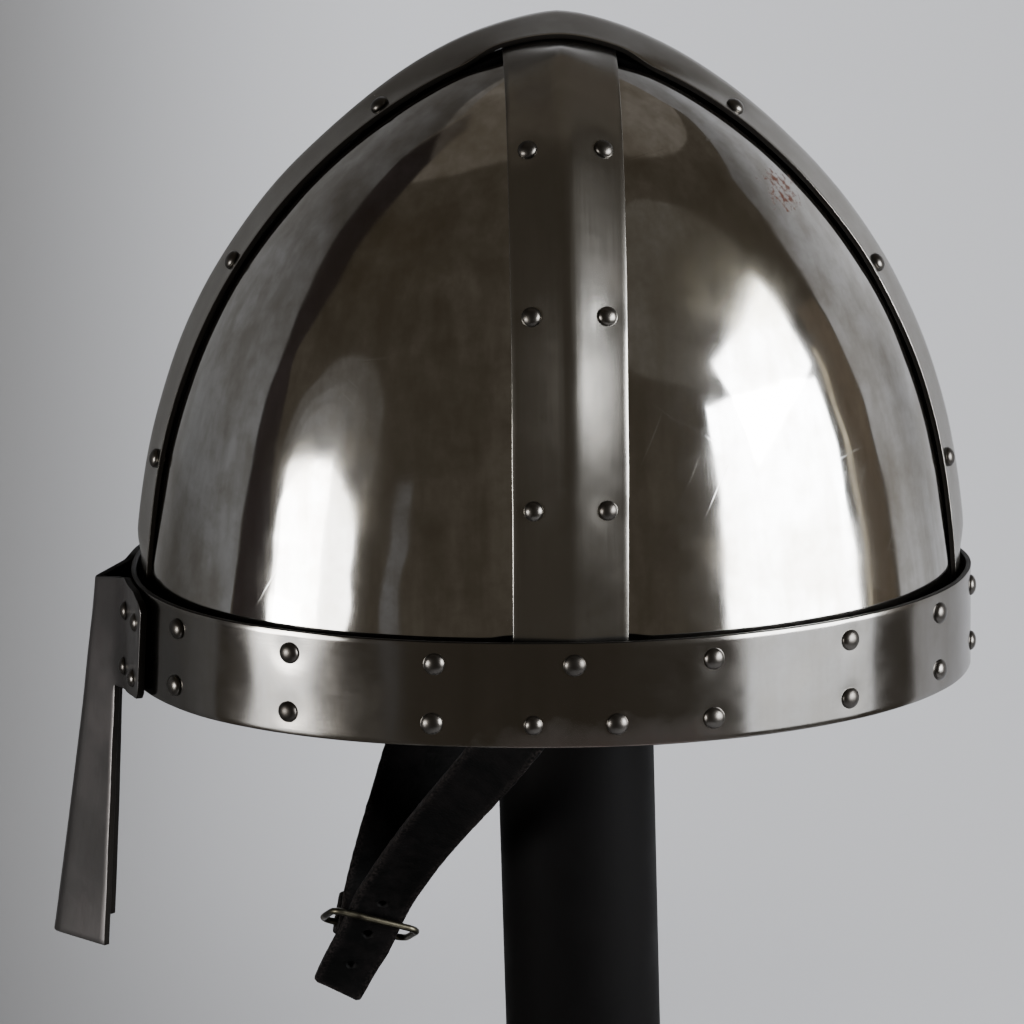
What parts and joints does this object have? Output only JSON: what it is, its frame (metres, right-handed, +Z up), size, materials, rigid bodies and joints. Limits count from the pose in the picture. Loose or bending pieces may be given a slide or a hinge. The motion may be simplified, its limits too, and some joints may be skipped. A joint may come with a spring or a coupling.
{
  "type": "spangenhelm helmet on a stand",
  "caption": "Riveted conical iron helmet with crossed straps, brow band, creased nasal bar and buckled leather chin strap, resting on a round post with a disc foot.",
  "frame": {"origin": "centre of the stand base's underside, on the post's axis", "axes": "+Z up along the post, -X towards the wearer's face and the nasal bar, +X towards the back of the helmet, -Y to the wearer's left"},
  "size_m": [0.2615, 0.2, 0.3801],
  "materials": {
    "ground_steel": "hand-polished bright steel sheet with cloudy dark bloom and fine scratches",
    "satin_steel": "satin steel strip with bright worn edges",
    "brow_steel": "polished steel strip with brownish handling marks along the lower edge",
    "dull_steel": "dull grey brushed steel with small scuffs",
    "dark_rivet_steel": "darkened round rivet heads, bright on their crowns",
    "black_leather": "black vegetable-tanned leather with rough cut edges",
    "aged_brass": "tarnished brass wire, bright where it rubs",
    "matt_black_wood": "matt black paint on turned wood"
  },
  "bodies": {
    "root": {"brow_band": "brow_steel", "buckle_frame": "aged_brass", "chin_rivet_left": "dark_rivet_steel", "chin_rivet_right": "dark_rivet_steel", "chin_strap_left": "black_leather", "chin_strap_right": "black_leather", "crest_rivet_01": "dark_rivet_steel", "crest_rivet_02": "dark_rivet_steel", "crest_rivet_03": "dark_rivet_steel", "crest_rivet_04": "dark_rivet_steel", "crest_rivet_05": "dark_rivet_steel", "crest_rivet_06": "dark_rivet_steel", "crest_rivet_07": "dark_rivet_steel", "crest_rivet_08": "dark_rivet_steel", "crest_rivet_09": "dark_rivet_steel", "crest_rivet_10": "dark_rivet_steel", "crest_rivet_11": "dark_rivet_steel", "crest_rivet_12": "dark_rivet_steel", "crest_strap": "satin_steel", "nasal": "dull_steel", "nasal_rivet_01": "dark_rivet_steel", "nasal_rivet_02": "dark_rivet_steel", "nasal_rivet_03": "dark_rivet_steel", "nasal_rivet_04": "dark_rivet_steel", "nasal_rivet_05": "dark_rivet_steel", "nasal_rivet_06": "dark_rivet_steel", "nasal_rivet_07": "dark_rivet_steel", "nasal_rivet_08": "dark_rivet_steel", "panel_front_left": "ground_steel", "panel_front_right": "ground_steel", "panel_rear_left": "ground_steel", "panel_rear_right": "ground_steel", "side_rivet_01": "dark_rivet_steel", "side_rivet_02": "dark_rivet_steel", "side_rivet_03": "dark_rivet_steel", "side_rivet_04": "dark_rivet_steel", "side_rivet_05": "dark_rivet_steel", "side_rivet_06": "dark_rivet_steel", "side_rivet_07": "dark_rivet_steel", "side_rivet_08": "dark_rivet_steel", "side_rivet_09": "dark_rivet_steel", "side_rivet_10": "dark_rivet_steel", "side_rivet_11": "dark_rivet_steel", "side_rivet_12": "dark_rivet_steel", "side_strap": "satin_steel", "stand_base": "matt_black_wood", "stand_post": "matt_black_wood"}
  },
  "joints": []
}
